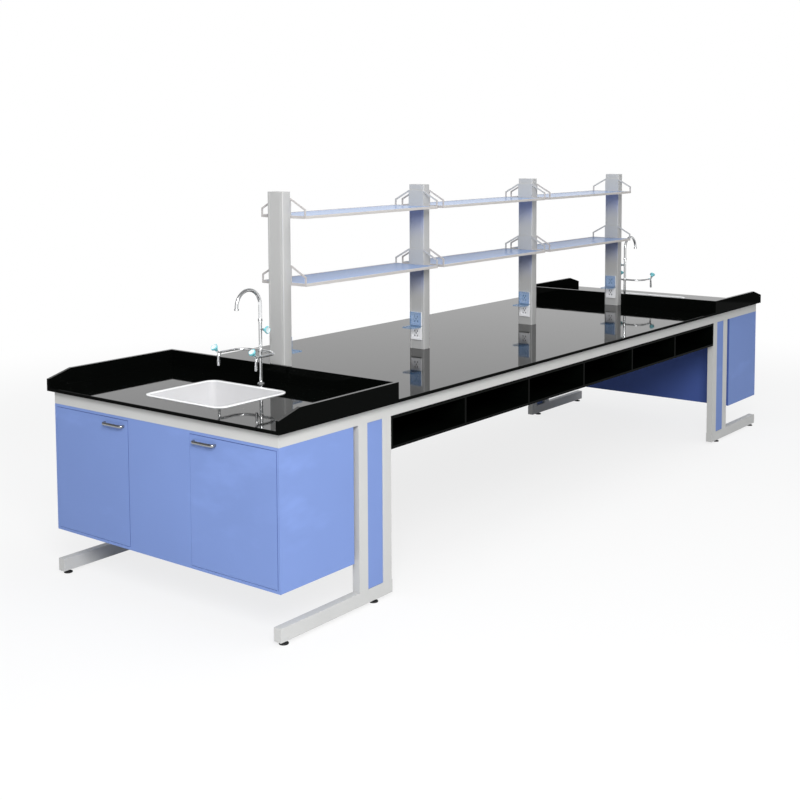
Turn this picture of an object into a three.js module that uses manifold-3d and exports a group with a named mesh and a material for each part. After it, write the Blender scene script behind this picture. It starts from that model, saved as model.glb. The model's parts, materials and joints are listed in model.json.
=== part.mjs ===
// Island laboratory bench with a reagent shelf.
// A sink bench stands at each end. The worktop between them carries four posts, and two tiers of
// glass shelves run along the middle. Millimetres, +Z up, X along the bench, Y across it.
// The origin is on the floor under the middle of the bench. The near end is at -X, the front at -Y.

import * as THREE from 'three';
import { mergeVertices } from 'three/addons/utils/BufferGeometryUtils.js';
import Module from 'manifold-3d';

const wasm = await Module();
wasm.setup();

// Whole bench
const LENGTH = 5000;
const WIDTH = 1500;
const TOP_HEIGHT = 902; // floor to the worktop's surface
const TOP_THICKNESS = 16;
const TOP_JOINT = 0.5; // gap between neighbouring worktops
const OVERHANG = 25; // worktop past the frame

// Frame tubes and legs
const TUBE_DEPTH = 60; // a rail's height, an upright's width along X
const TUBE_WIDTH = 40;
const LEG_DEPTH = 227; // over both uprights of a leg
const LEG_SETBACK = 28; // leg's back face to the sink worktop's back edge
const FOOT_LIFT = 17; // floor to the underside of the foot rails
const FOOT_RAIL_START = 23; // worktop edge to the foot rail's front end
const FOOT_RAIL_TAIL = 5; // foot rail past the leg
const LEG_PANEL_THICKNESS = 18;
const LEG_PANEL_RECESS = 3; // panel face behind the upright's face
const PANEL_GAP = 0.5; // round a panel that is set into the frame

// Levelling feet
const PAD_RADIUS = 21;
const PAD_RIM = 5;
const PAD_CHAMFER = 1;
const PAD_HEIGHT = 9;
const NUT_RADIUS = 9;
const STEM_RADIUS = 6;
const STEM_LENGTH = 28; // stem inside the foot rail
const STEM_CLEARANCE = 0.5;
const PAD_FROM_FRONT = 38; // foot rail's front end to the first foot
const PAD_FROM_BACK = 113; // foot rail's back end to the second foot

// Sink worktop with its splash walls
const SINK_SETBACK = 151; // worktop edge to the sink rim
const TAP_ZONE = 163; // sink rim to the back splash
const SPLASH_THICKNESS = 18;
const SPLASH_HEIGHT = 78;
const SPLASH_STEP = 42; // height of the side walls at the worktop edge
const SPLASH_SLOPE = 130; // run of the slope up to the full height

// Sink
const SINK_DEPTH = 450; // rim, along X
const SINK_WIDTH = 516; // rim, along Y
const RIM_WIDTH = 22;
const RIM_HEIGHT = 4;
const RIM_ROUND = 1.5;
const BOWL_DEPTH = 250; // worktop surface to the underside of the bowl
const BOWL_WALL = 5;
const BOWL_CORNER = 40;
const CUTOUT_GAP = 3; // between the bowl and the worktop
const OUTLET_RADIUS = 22;
const OUTLET_LENGTH = 60;
const DRAIN_RECESS = 4;
const DRAIN_RADIUS = 42;

// Tap
const NEAR_TAP_GAP = 71; // sink rim to the tap's axis
const FAR_TAP_GAP = 35;
const TAP_HOLE_CLEARANCE = 2;
const SHANK_RADIUS = 10;
const SHANK_LENGTH = 40; // below the worktop
const LOCK_NUT_RADIUS = 17;
const LOCK_NUT_HEIGHT = 8;
const FLANGE_RADIUS = 17;
const FLANGE_HEIGHT = 9;
const FLANGE_LIP = 3; // upright edge of the flange
const FLANGE_NECK = 2; // flange's top past the column
const FLANGE_TAPER = 4; // height over which the neck meets the column
const COLUMN_RADIUS = 8.5;
const HUB_RADIUS = 10.5;
const HUB_HEIGHT = 22;
const ARM_HEIGHT = 160; // worktop surface to the side arms
const ARM_REACH = 124; // along Y
const ARM_FORWARD = 158; // along X, towards the sink
const ARM_RADIUS = 6;
const ARM_SWEEP = 70; // bend of an arm towards the sink
const ARM_TURN = 22; // bend of an arm down to its nozzle
const NOZZLE_DROP = 63; // arm to the nozzle's tip
const NOZZLE_RADIUS = 7.5;
const BARB_COUNT = 3;
const BARB_LENGTH = 8;
const BARB_STEP = 1.4; // how far a barb's edge stands out
const BARB_BACK = 1; // length of a barb's steep back
const BONNET_RADIUS = 6;
const BONNET_LENGTH = 17; // arm's corner to the knob
const KNOB_TILT = 42; // degrees, side knobs lean over the sink
const MAIN_VALVE_HEIGHT = 263; // worktop surface to the main knob
const SWIVEL_HEIGHT = 300; // worktop surface to the spout's joint
const SPOUT_RADIUS = 9;
const SPOUT_COLLAR = 2; // collar past the tube
const COLLAR_HEIGHT = 14;
const SPOUT_RISE = 80; // joint to the start of the arch
const SPOUT_REACH = 156;
const ARCH_STEPS = 14;
const OUTLET_DROP = 11; // arch to the spout's mouth
const AERATOR_RADIUS = 11.5;
const AERATOR_NECK = 10; // radius where it meets the tube
const AERATOR_HEIGHT = 9;
const SPOUT_BORE = 7;
const MOUTH_DEPTH = 6;

// Tap knobs
const KNOB_RADIUS = 19;
const KNOB_LOBES = 4;
const LOBE_DEPTH = 2.5;
const KNOB_NECK = 8;
const NECK_LENGTH = 14;
const KNOB_RIM = 11;
const KNOB_BEVEL = 2;
const KNOB_CLEARANCE = 0.4; // knob to its bonnet

// Sink cabinet
const CABINET_LEG_GAP = 35; // cabinet's back to the leg
const CABINET_CLEARANCE = 220; // floor to the underside of the cabinet
const BOARD = 13; // cabinet boards
const CENTRE_PANEL = 400;
const DOOR_THICKNESS = 18;
const DOOR_GAP = 2;
const PIVOT_INSET = 4; // pivot to the door's front face and to its outer edge
const PIN_RADIUS = 2.5;
const PIN_LENGTH = 6; // inside the board
const PIN_CLEARANCE = 0.25;
const COLLAR_RADIUS = 3.8; // carries the door on the bottom board
const BOWL_NOTCH_GAP = 15; // back board to the bowl

// Door handle
const HANDLE_LENGTH = 140;
const HANDLE_BAR = 11;
const HANDLE_STANDOFF = 24; // door face to the outer side of the bar
const HANDLE_INSET = 22; // door's free edge to the handle
const HANDLE_DROP = 28; // door's top edge to the handle's middle
const HANDLE_CORNER = 12;

// Open compartments under the centre worktop
const COMPARTMENTS = 6;
const COMPARTMENT_HEIGHT = 152;
const COMPARTMENT_DEPTH = 350;
const COMPARTMENT_BOARD = 14;

// Reagent shelf
const POST_COUNT = 4;
const POST_GAP = 1; // back splash to the end post
const POST_DEPTH = 56; // along X
const POST_WIDTH = 100; // along Y
const POST_HEIGHT = 913;
const POST_ROUND = 5;
const POST_GROOVE = 3;
const GROOVE_INSET = 12; // post edge to the groove
const SHELF_HEIGHTS = [459, 784]; // worktop surface to the underside of each tier
const SHELF_DEPTH = 292; // along Y
const RAIL_HEIGHT = 14;
const RAIL_THICKNESS = 8;
const GLASS_THICKNESS = 6;
const GLASS_LIFT = 6; // rail's underside to the glass
const GLASS_INSET = 1; // rail's outer face to the glass edge
const SHELF_GAP = 0.4; // shelf to its brackets
const BRACKET_THICKNESS = 5;
const BRACKET_BAR = 9;
const BRACKET_END = 46; // height at the shelf's edge
const BRACKET_TOP = 98; // height at the post
const LEDGE_LENGTH = 14; // bracket ledge under the glass

// Sockets and their covers
const SOCKET_SIZE = 73;
const SOCKET_DEPTH = 8;
const SOCKET_LIFT = 51; // worktop surface to the lower socket
const SOCKET_PITCH = 80;
const SOCKET_RECESS = 2.5;
const SOCKET_FACE = 46; // recessed face of a socket, across
const COVER_DEPTH = 8;
const COVER_WALL = 1.6;
const COVER_GAP = 0.4; // cover to its socket
const COVER_KNUCKLE = 2.4;

// Facets of the round pieces
const ROUND_SIDES = 12;
const SLIM_SIDES = 10;
const HANDLE_SIDES = 8;
const DRAIN_SIDES = 20;
const NUT_SIDES = 6;
const KNUCKLE_SIDES = 8;
const LOBE_STEPS = 6;
const ARM_STEPS = 5;
const HANDLE_STEPS = 4;

// Working allowances of the cuts and joins
const PAST = 1; // a cut reaches this far past the faces it opens
const LAP = 1; // joined solids reach this far into each other

// Places worked out from the dimensions above, measured from a worktop edge or from the floor
const sinkBenchDepth = SINK_SETBACK + SINK_DEPTH + TAP_ZONE + SPLASH_THICKNESS;
const legBack = sinkBenchDepth - LEG_SETBACK;
const legFront = legBack - LEG_DEPTH;
const railTop = TOP_HEIGHT - TOP_THICKNESS;
const railBottom = railTop - TUBE_DEPTH;
const footTop = FOOT_LIFT + TUBE_DEPTH;
const footEnd = legBack + FOOT_RAIL_TAIL;
const frameSide = WIDTH / 2 - OVERHANG;
const frameInside = frameSide - TUBE_WIDTH;
const sinkMiddle = SINK_SETBACK + SINK_DEPTH / 2;
const bowlOuter = [SINK_DEPTH - 2 * (RIM_WIDTH - BOWL_WALL), SINK_WIDTH - 2 * (RIM_WIDTH - BOWL_WALL)];
const bowlBottom = TOP_HEIGHT - BOWL_DEPTH;
const endPost = sinkBenchDepth + POST_GAP + POST_DEPTH / 2;
const postPitch = (LENGTH - 2 * endPost) / (POST_COUNT - 1);
const fromEnd = (distance) => distance - LENGTH / 2;

// Finishes
const finish = (color, roughness, metalness = 0) =>
  new THREE.MeshStandardMaterial({ color, roughness, metalness });
const greyPaint = finish(0xcdcdcb, 0.5);
const blueBoard = finish(0x8296d4, 0.45);
const blackTop = finish(0x0c0e0c, 0.08);
const blackBoard = finish(0x090a09, 0.3);
const whiteSink = finish(0xdedddf, 0.3);
const chrome = finish(0xd8d9da, 0.1, 1);
const tealPlastic = finish(0x78c8cd, 0.3);
const postGrey = finish(0xc2c2c3, 0.4);
const blueGlass = finish(0xaac0e6, 0.05);
const coverBlue = finish(0x8caacd, 0.15);
const blackRubber = finish(0x151515, 0.7);

// Solids
function solidOf(geometry) {
  const plain = geometry.index ? geometry.toNonIndexed() : geometry.clone();
  plain.deleteAttribute('normal');
  plain.deleteAttribute('uv');
  const merged = mergeVertices(plain, 1e-4);
  return new wasm.Manifold(new wasm.Mesh({
    numProp: 3,
    vertProperties: new Float32Array(merged.attributes.position.array),
    triVerts: new Uint32Array(merged.index.array),
  }));
}

function geometryOf(solid) {
  const mesh = solid.getMesh();
  const geometry = new THREE.BufferGeometry();
  geometry.setAttribute('position', new THREE.BufferAttribute(mesh.vertProperties.slice(), 3));
  geometry.setIndex(new THREE.BufferAttribute(mesh.triVerts.slice(), 1));
  geometry.computeVertexNormals();
  return geometry;
}

const join = (...solids) => solids.reduce((sum, solid) => sum.add(solid));
const cut = (solid, ...holes) => holes.reduce((rest, hole) => rest.subtract(hole), solid);

function block([x0, x1], [y0, y1], [z0, z1]) {
  const geometry = new THREE.BoxGeometry(x1 - x0, y1 - y0, z1 - z0);
  return solidOf(geometry.translate((x0 + x1) / 2, (y0 + y1) / 2, (z0 + z1) / 2));
}

// A round rod or cone along Z, from z0 to z1
function rod(radius, [z0, z1], sides = ROUND_SIDES, topRadius = radius) {
  const geometry = new THREE.CylinderGeometry(topRadius, radius, z1 - z0, sides);
  return solidOf(geometry.rotateX(Math.PI / 2).translate(0, 0, (z0 + z1) / 2));
}

// An outline in X and Y, raised along Z from z0 to z1
function raised(shape, [z0, z1], curveSegments = 3) {
  const geometry = new THREE.ExtrudeGeometry(shape, { depth: z1 - z0, bevelEnabled: false, curveSegments });
  return solidOf(geometry.translate(0, 0, z0));
}

// An outline drawn in Y and Z, thickened along X from x0 to x1
function plateAcross(shape, [x0, x1]) {
  const geometry = new THREE.ExtrudeGeometry(shape, { depth: x1 - x0, bevelEnabled: false });
  return solidOf(geometry.rotateX(Math.PI / 2).rotateZ(Math.PI / 2).translate(x0, 0, 0));
}

// An outline drawn in X and Z, thickened along Y from y0 to y1
function plateAlong(shape, [y0, y1]) {
  const geometry = new THREE.ExtrudeGeometry(shape, { depth: y1 - y0, bevelEnabled: false });
  return solidOf(geometry.rotateX(Math.PI / 2).translate(0, y1, 0));
}

// A profile of [radius, height] points turned about Z
function turned(profile, sides = ROUND_SIDES) {
  const points = profile.map(([radius, height]) => new THREE.Vector2(radius, height));
  return solidOf(new THREE.LatheGeometry(points, sides).rotateX(Math.PI / 2));
}

function outline(points) {
  return new THREE.Shape(points.map(([a, b]) => new THREE.Vector2(a, b)));
}

function roundedRectangle(width, depth, corner) {
  const [a, b] = [width / 2, depth / 2];
  const shape = new THREE.Shape();
  shape.moveTo(a, corner - b);
  shape.absarc(a - corner, b - corner, corner, 0, Math.PI / 2);
  shape.absarc(corner - a, b - corner, corner, Math.PI / 2, Math.PI);
  shape.absarc(corner - a, corner - b, corner, Math.PI, 1.5 * Math.PI);
  shape.absarc(a - corner, corner - b, corner, 1.5 * Math.PI, 2 * Math.PI);
  return shape;
}

function polygon(radius, sides) {
  const turns = Array.from({ length: sides }, (_, i) => (2 * Math.PI * i) / sides);
  return outline(turns.map((turn) => [radius * Math.cos(turn), radius * Math.sin(turn)]));
}

// A path through points with one step per point, so that a straight run stays in one piece
class Route extends THREE.Curve {
  constructor(points) {
    super();
    this.points = points;
  }

  getPoint(t) {
    const place = t * (this.points.length - 1);
    const i = Math.min(Math.floor(place), this.points.length - 2);
    return this.points[i].clone().lerp(this.points[i + 1], place - i);
  }

  getPointAt(u) {
    return this.getPoint(u);
  }

  getTangentAt(u) {
    return this.getTangent(u);
  }
}

// A round tube through points
function tube(points, radius, sides) {
  const settings = { extrudePath: new Route(points), steps: points.length - 1, bevelEnabled: false };
  return solidOf(new THREE.ExtrudeGeometry(polygon(radius, sides), settings));
}

// Corner points joined by straight runs, each corner rounded
function bentRoute(corners, bends, steps) {
  const points = [corners[0]];
  for (let i = 1; i < corners.length - 1; i += 1) {
    const corner = corners[i];
    const bend = bends[i - 1];
    const before = corner.clone().lerp(corners[i - 1], bend / corner.distanceTo(corners[i - 1]));
    const after = corner.clone().lerp(corners[i + 1], bend / corner.distanceTo(corners[i + 1]));
    points.push(...new THREE.QuadraticBezierCurve3(before, corner, after).getPoints(steps));
  }
  return [...points, corners.at(-1)];
}

const vector = (x, y, z) => new THREE.Vector3(x, y, z);

function piece(name, solid, material) {
  const mesh = new THREE.Mesh(geometryOf(solid), material);
  mesh.name = name;
  return mesh;
}

const bench = new THREE.Group();

// Each end is drawn as the near one. The far one is the same, turned half a turn about Z.
const ends = ['near', 'far'];
const endGroups = ends.map((_, i) => new THREE.Group().rotateZ(i * Math.PI));
bench.add(...endGroups);

// Name of a side as it lies on the bench, for a side of the drawn end: -1 front, 1 back
const sideName = (end, side) => ((end === 'near') === (side < 0) ? 'front' : 'back');

// Span in Y from a to b, on the side given
const onSide = (side, a, b) => [Math.min(side * a, side * b), Math.max(side * a, side * b)];

// End frame: foot rails, paired uprights and the rails under the sink worktop, welded together
function endFrame() {
  const rails = [railBottom, railTop];
  const padPlaces = [FOOT_RAIL_START + PAD_FROM_FRONT, footEnd - PAD_FROM_BACK];
  const parts = [
    block([fromEnd(OVERHANG), fromEnd(OVERHANG + TUBE_WIDTH)], [-frameSide, frameSide], rails),
    block([fromEnd(legBack - TUBE_WIDTH), fromEnd(legBack)], [-frameSide, frameSide], rails),
  ];
  const stems = [];
  for (const side of [-1, 1]) {
    const width = onSide(side, frameInside, frameSide);
    parts.push(block([fromEnd(OVERHANG), fromEnd(legBack)], width, rails));
    parts.push(block([fromEnd(FOOT_RAIL_START), fromEnd(footEnd)], width, [FOOT_LIFT, footTop]));
    for (const start of [legFront, legBack - TUBE_DEPTH]) {
      parts.push(block([fromEnd(start), fromEnd(start + TUBE_DEPTH)], width, [FOOT_LIFT, railTop]));
    }
    for (const place of padPlaces) {
      const hole = rod(STEM_RADIUS + STEM_CLEARANCE, [FOOT_LIFT - PAST, FOOT_LIFT + STEM_LENGTH + PAST]);
      stems.push(hole.translate([fromEnd(place), side * (frameSide - TUBE_WIDTH / 2), 0]));
    }
  }
  return cut(join(...parts), ...stems);
}

// Blue panel between the two uprights of a leg
function legPanel(side) {
  const outer = frameSide - LEG_PANEL_RECESS;
  const along = [legFront + TUBE_DEPTH + PANEL_GAP, legBack - TUBE_DEPTH - PANEL_GAP];
  return block(
    along.map(fromEnd),
    onSide(side, outer - LEG_PANEL_THICKNESS, outer),
    [footTop + PANEL_GAP, railBottom - PANEL_GAP],
  );
}

// Levelling foot: a pad, a lock nut under the rail and a stem inside it
function levellingFoot() {
  return turned([
    [0, 0], [PAD_RADIUS - PAD_CHAMFER, 0], [PAD_RADIUS, PAD_CHAMFER], [PAD_RADIUS, PAD_RIM],
    [NUT_RADIUS, PAD_HEIGHT],
    [NUT_RADIUS, FOOT_LIFT], [STEM_RADIUS, FOOT_LIFT], [STEM_RADIUS, FOOT_LIFT + STEM_LENGTH],
    [0, FOOT_LIFT + STEM_LENGTH],
  ], SLIM_SIDES);
}

// Sink worktop with its side and back splash, the sink's cut-out and the tap's hole
function sinkWorktop(tapGap) {
  const half = WIDTH / 2;
  const level = [railTop, TOP_HEIGHT];
  const splashTop = TOP_HEIGHT + SPLASH_HEIGHT;
  const sideWall = outline([
    [fromEnd(0), railTop],
    [fromEnd(sinkBenchDepth), railTop],
    [fromEnd(sinkBenchDepth), splashTop],
    [fromEnd(SPLASH_SLOPE), splashTop],
    [fromEnd(0), TOP_HEIGHT + SPLASH_STEP],
  ]);
  const backWall = [fromEnd(sinkBenchDepth - SPLASH_THICKNESS), fromEnd(sinkBenchDepth)];
  const walls = [
    block([fromEnd(0), fromEnd(sinkBenchDepth)], [-half, half], level),
    block(backWall, [-half, half], [railTop, splashTop]),
    plateAlong(sideWall, onSide(-1, half - SPLASH_THICKNESS, half)),
    plateAlong(sideWall, onSide(1, half - SPLASH_THICKNESS, half)),
  ];
  const [depth, width] = bowlOuter.map((size) => size + 2 * CUTOUT_GAP);
  const through = [railTop - PAST, TOP_HEIGHT + PAST];
  const cutout = raised(roundedRectangle(depth, width, BOWL_CORNER + CUTOUT_GAP), through)
    .translate([fromEnd(sinkMiddle), 0, 0]);
  const tapHole = rod(SHANK_RADIUS + TAP_HOLE_CLEARANCE, through)
    .translate([fromEnd(SINK_SETBACK + SINK_DEPTH + tapGap), 0, 0]);
  return cut(join(...walls), cutout, tapHole);
}

// Drop-in sink: a rim on the worktop, a bowl and a waste outlet
function sink() {
  const rimTop = TOP_HEIGHT + RIM_HEIGHT;
  const rimCorner = BOWL_CORNER + RIM_WIDTH - BOWL_WALL;
  const inner = bowlOuter.map((size) => size - 2 * BOWL_WALL);
  const floor = bowlBottom + BOWL_WALL + DRAIN_RECESS;
  const outletEnd = bowlBottom - OUTLET_LENGTH;
  const body = join(
    raised(roundedRectangle(SINK_DEPTH, SINK_WIDTH, rimCorner), [TOP_HEIGHT, rimTop - RIM_ROUND]),
    raised(
      roundedRectangle(SINK_DEPTH - 2 * RIM_ROUND, SINK_WIDTH - 2 * RIM_ROUND, rimCorner - RIM_ROUND),
      [TOP_HEIGHT, rimTop],
    ),
    raised(roundedRectangle(...bowlOuter, BOWL_CORNER), [bowlBottom, TOP_HEIGHT + LAP]),
    rod(OUTLET_RADIUS + BOWL_WALL, [outletEnd, bowlBottom + LAP]),
  );
  return cut(
    body,
    raised(roundedRectangle(...inner, BOWL_CORNER - BOWL_WALL), [floor, rimTop + PAST]),
    rod(DRAIN_RADIUS, [floor - DRAIN_RECESS, floor + PAST], DRAIN_SIDES),
    rod(OUTLET_RADIUS, [outletEnd - PAST, floor]),
  );
}

// Tap body, about its own axis with the worktop's surface at zero: shank, column, hub and side valves
function tapBody() {
  const mainBonnet = rod(BONNET_RADIUS, [0, BONNET_LENGTH + COLUMN_RADIUS])
    .rotate([90, 0, 0]).translate([0, 0, MAIN_VALVE_HEIGHT]);
  const parts = [
    rod(SHANK_RADIUS, [-TOP_THICKNESS - SHANK_LENGTH, LAP]),
    rod(LOCK_NUT_RADIUS, [-TOP_THICKNESS - LOCK_NUT_HEIGHT, -TOP_THICKNESS], NUT_SIDES),
    turned([
      [0, 0], [FLANGE_RADIUS, 0], [FLANGE_RADIUS, FLANGE_LIP],
      [COLUMN_RADIUS + FLANGE_NECK, FLANGE_HEIGHT], [COLUMN_RADIUS, FLANGE_HEIGHT + FLANGE_TAPER],
      [COLUMN_RADIUS, SWIVEL_HEIGHT], [0, SWIVEL_HEIGHT],
    ]),
    rod(HUB_RADIUS, [ARM_HEIGHT - HUB_HEIGHT / 2, ARM_HEIGHT + HUB_HEIGHT / 2]),
    mainBonnet,
  ];
  for (const side of [-1, 1]) {
    parts.push(side < 0 ? arm() : arm().mirror([0, 1, 0]));
  }
  return join(...parts);
}

// Arm of the front side: it sweeps round towards the sink and turns down to a barbed hose nozzle
function arm() {
  const end = ARM_HEIGHT - NOZZLE_DROP;
  const corners = [
    vector(0, 0, ARM_HEIGHT),
    vector(0, -ARM_REACH, ARM_HEIGHT),
    vector(-ARM_FORWARD, -ARM_REACH, ARM_HEIGHT),
    vector(-ARM_FORWARD, -ARM_REACH, end),
  ];
  const profile = [[0, 0], [NOZZLE_RADIUS - BARB_STEP, 0]];
  for (let i = 1; i <= BARB_COUNT; i += 1) {
    const back = i * BARB_LENGTH;
    profile.push([NOZZLE_RADIUS, back - BARB_BACK], [NOZZLE_RADIUS - BARB_STEP, back]);
  }
  profile.push([0, BARB_COUNT * BARB_LENGTH]);
  const place = [-ARM_FORWARD, -ARM_REACH];
  const bonnet = rod(BONNET_RADIUS, [-ARM_TURN / 2, BONNET_LENGTH], SLIM_SIDES)
    .rotate([0, -KNOB_TILT, 0]);
  return join(
    tube(bentRoute(corners, [ARM_SWEEP, ARM_TURN], ARM_STEPS), ARM_RADIUS, SLIM_SIDES),
    turned(profile, SLIM_SIDES).translate([...place, end]),
    bonnet.translate([...place, ARM_HEIGHT]),
  );
}

// Swan-neck spout, about the tap's axis with its joint at zero
function spout() {
  const radius = SPOUT_REACH / 2;
  const arch = Array.from({ length: ARCH_STEPS + 1 }, (_, i) => (Math.PI * i) / ARCH_STEPS);
  const points = [
    vector(0, 0, 0),
    ...arch.map((turn) => vector(radius * (Math.cos(turn) - 1), 0, SPOUT_RISE + radius * Math.sin(turn))),
    vector(-SPOUT_REACH, 0, SPOUT_RISE - OUTLET_DROP),
  ];
  const mouth = SPOUT_RISE - OUTLET_DROP;
  const aerator = rod(AERATOR_RADIUS, [mouth, mouth + AERATOR_HEIGHT], ROUND_SIDES, AERATOR_NECK);
  const body = join(
    tube(points, SPOUT_RADIUS, ROUND_SIDES),
    rod(SPOUT_RADIUS + SPOUT_COLLAR, [0, COLLAR_HEIGHT]),
    aerator.translate([-SPOUT_REACH, 0, 0]),
  );
  const bore = rod(SPOUT_BORE, [mouth - PAST, mouth + MOUTH_DEPTH]);
  return cut(body, bore.translate([-SPOUT_REACH, 0, 0]));
}

// Lobed knob on its own axis, with its stem end at zero
function knob() {
  const count = LOBE_STEPS * KNOB_LOBES;
  const points = Array.from({ length: count }, (_, i) => {
    const turn = (2 * Math.PI * i) / count;
    const radius = KNOB_RADIUS - KNOB_BEVEL - (LOBE_DEPTH / 2) * (1 - Math.cos(KNOB_LOBES * turn));
    return [radius * Math.cos(turn), radius * Math.sin(turn)];
  });
  const rim = new THREE.ExtrudeGeometry(outline(points), {
    depth: KNOB_RIM - 2 * KNOB_BEVEL,
    bevelThickness: KNOB_BEVEL,
    bevelSize: KNOB_BEVEL,
    bevelSegments: 1,
  }).translate(0, 0, NECK_LENGTH + KNOB_BEVEL);
  const flare = KNOB_RADIUS - LOBE_DEPTH - 2 * KNOB_BEVEL;
  return join(solidOf(rim), rod(KNOB_NECK, [0, NECK_LENGTH + KNOB_BEVEL], ROUND_SIDES, flare));
}

// Cabinet hung under the sink worktop: boards, a fixed centre panel and open bays for the doors
const cabinetFront = OVERHANG;
const cabinetBack = legFront - CABINET_LEG_GAP;
const cabinetSide = frameSide;
const doorZ = [CABINET_CLEARANCE + BOARD + DOOR_GAP, railBottom - BOARD - DOOR_GAP];
const doorY = [CENTRE_PANEL / 2 + DOOR_GAP, cabinetSide - BOARD - DOOR_GAP];
const pivotX = cabinetFront + PIVOT_INSET;
const pivotY = doorY[1] - PIVOT_INSET;

function cabinet() {
  const along = [fromEnd(cabinetFront), fromEnd(cabinetBack)];
  const height = [CABINET_CLEARANCE, railBottom];
  const across = [-cabinetSide, cabinetSide];
  const front = [fromEnd(cabinetFront), fromEnd(cabinetFront + DOOR_THICKNESS)];
  const notchSide = bowlOuter[1] / 2 + BOWL_NOTCH_GAP;
  const boards = join(
    block(along, onSide(-1, cabinetSide - BOARD, cabinetSide), height),
    block(along, onSide(1, cabinetSide - BOARD, cabinetSide), height),
    block(along, across, [CABINET_CLEARANCE, CABINET_CLEARANCE + BOARD]),
    block([fromEnd(cabinetBack - BOARD), fromEnd(cabinetBack)], across, height),
    block(front, across, [railBottom - BOARD, railBottom]),
    block(front, [-CENTRE_PANEL / 2, CENTRE_PANEL / 2], height),
  );
  const notch = block(
    [fromEnd(cabinetBack - BOARD - PAST), fromEnd(cabinetBack + PAST)],
    [-notchSide, notchSide],
    [bowlBottom - BOWL_NOTCH_GAP, railBottom + PAST],
  );
  const pinReach = DOOR_GAP + PIN_LENGTH + PIN_CLEARANCE;
  const pivots = [-1, 1].flatMap((side) => [
    rod(PIN_RADIUS + PIN_CLEARANCE, [doorZ[0] - pinReach, doorZ[0]], SLIM_SIDES),
    rod(PIN_RADIUS + PIN_CLEARANCE, [doorZ[1], doorZ[1] + pinReach], SLIM_SIDES),
  ].map((hole) => hole.translate([fromEnd(pivotX), side * pivotY, 0])));
  return cut(boards, notch, ...pivots);
}

// Door with a pivot pin at its top and at its foot, where a collar rests on the bottom board
function door(side) {
  const panel = block(
    [fromEnd(cabinetFront), fromEnd(cabinetFront + DOOR_THICKNESS)], onSide(side, ...doorY), doorZ);
  const pins = [
    rod(PIN_RADIUS, [doorZ[0] - DOOR_GAP - PIN_LENGTH, doorZ[0] + PIN_LENGTH], SLIM_SIDES),
    rod(PIN_RADIUS, [doorZ[1] - PIN_LENGTH, doorZ[1] + DOOR_GAP + PIN_LENGTH], SLIM_SIDES),
    rod(COLLAR_RADIUS, [doorZ[0] - DOOR_GAP, doorZ[0] + LAP], SLIM_SIDES),
  ];
  return join(panel, ...pins.map((pin) => pin.translate([fromEnd(pivotX), side * pivotY, 0])));
}

// Bow handle standing off the door's face
function handle(side) {
  const first = side * (doorY[0] + HANDLE_INSET + HANDLE_BAR / 2);
  const last = side * (doorY[0] + HANDLE_INSET + HANDLE_LENGTH - HANDLE_BAR / 2);
  const height = doorZ[1] - HANDLE_DROP;
  const face = fromEnd(cabinetFront);
  const bar = face - HANDLE_STANDOFF + HANDLE_BAR / 2;
  const corners = [vector(face, first, height), vector(bar, first, height)];
  corners.push(vector(bar, last, height), vector(face, last, height));
  const route = bentRoute(corners, [HANDLE_CORNER, HANDLE_CORNER], HANDLE_STEPS);
  return tube(route, HANDLE_BAR / 2, HANDLE_SIDES);
}

ends.forEach((end, i) => {
  const group = endGroups[i];
  const tapGap = end === 'near' ? NEAR_TAP_GAP : FAR_TAP_GAP;
  group.add(piece(`end_frame_${end}`, endFrame(), greyPaint));
  group.add(piece(`worktop_${end}`, sinkWorktop(tapGap), blackTop));
  const sinkMesh = piece(`sink_${end}`, sink(), whiteSink);
  sinkMesh.position.x = fromEnd(sinkMiddle);
  group.add(sinkMesh);

  const tap = new THREE.Group();
  tap.position.set(fromEnd(SINK_SETBACK + SINK_DEPTH + tapGap), 0, TOP_HEIGHT);
  const spoutMesh = piece(`spout_${end}`, spout(), chrome);
  spoutMesh.position.z = SWIVEL_HEIGHT;
  const mainKnob = piece(`tap_knob_${end}_main`, knob(), tealPlastic);
  mainKnob.position.set(0, -BONNET_LENGTH - COLUMN_RADIUS - KNOB_CLEARANCE, MAIN_VALVE_HEIGHT);
  mainKnob.rotation.x = Math.PI / 2;
  tap.add(piece(`tap_body_${end}`, tapBody(), chrome), spoutMesh, mainKnob);
  group.add(tap);

  group.add(piece(`cabinet_${end}`, cabinet(), blueBoard));
  for (const side of [-1, 1]) {
    const name = `${end}_${sideName(end, side)}`;
    const tilt = THREE.MathUtils.degToRad(KNOB_TILT);
    const reach = BONNET_LENGTH + KNOB_CLEARANCE;
    const sideKnob = piece(`tap_knob_${name}`, knob(), tealPlastic);
    sideKnob.position.set(
      -ARM_FORWARD - reach * Math.sin(tilt), side * ARM_REACH, ARM_HEIGHT + reach * Math.cos(tilt));
    sideKnob.rotation.y = -tilt;
    tap.add(sideKnob);

    group.add(piece(`leg_panel_${name}`, legPanel(side), blueBoard));
    group.add(piece(`cabinet_door_${name}`, door(side), blueBoard));
    group.add(piece(`door_handle_${name}`, handle(side), chrome));
    const feet = { outer: FOOT_RAIL_START + PAD_FROM_FRONT, inner: footEnd - PAD_FROM_BACK };
    for (const [place, distance] of Object.entries(feet)) {
      const foot = piece(`levelling_foot_${name}_${place}`, levellingFoot(), blackRubber);
      foot.position.set(fromEnd(distance), side * (frameSide - TUBE_WIDTH / 2), 0);
      group.add(foot);
    }
  }
});

// Centre frame: two long rails and a cross rail under each post
const postPlaces = Array.from({ length: POST_COUNT }, (_, i) => fromEnd(endPost) + i * postPitch);

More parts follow.
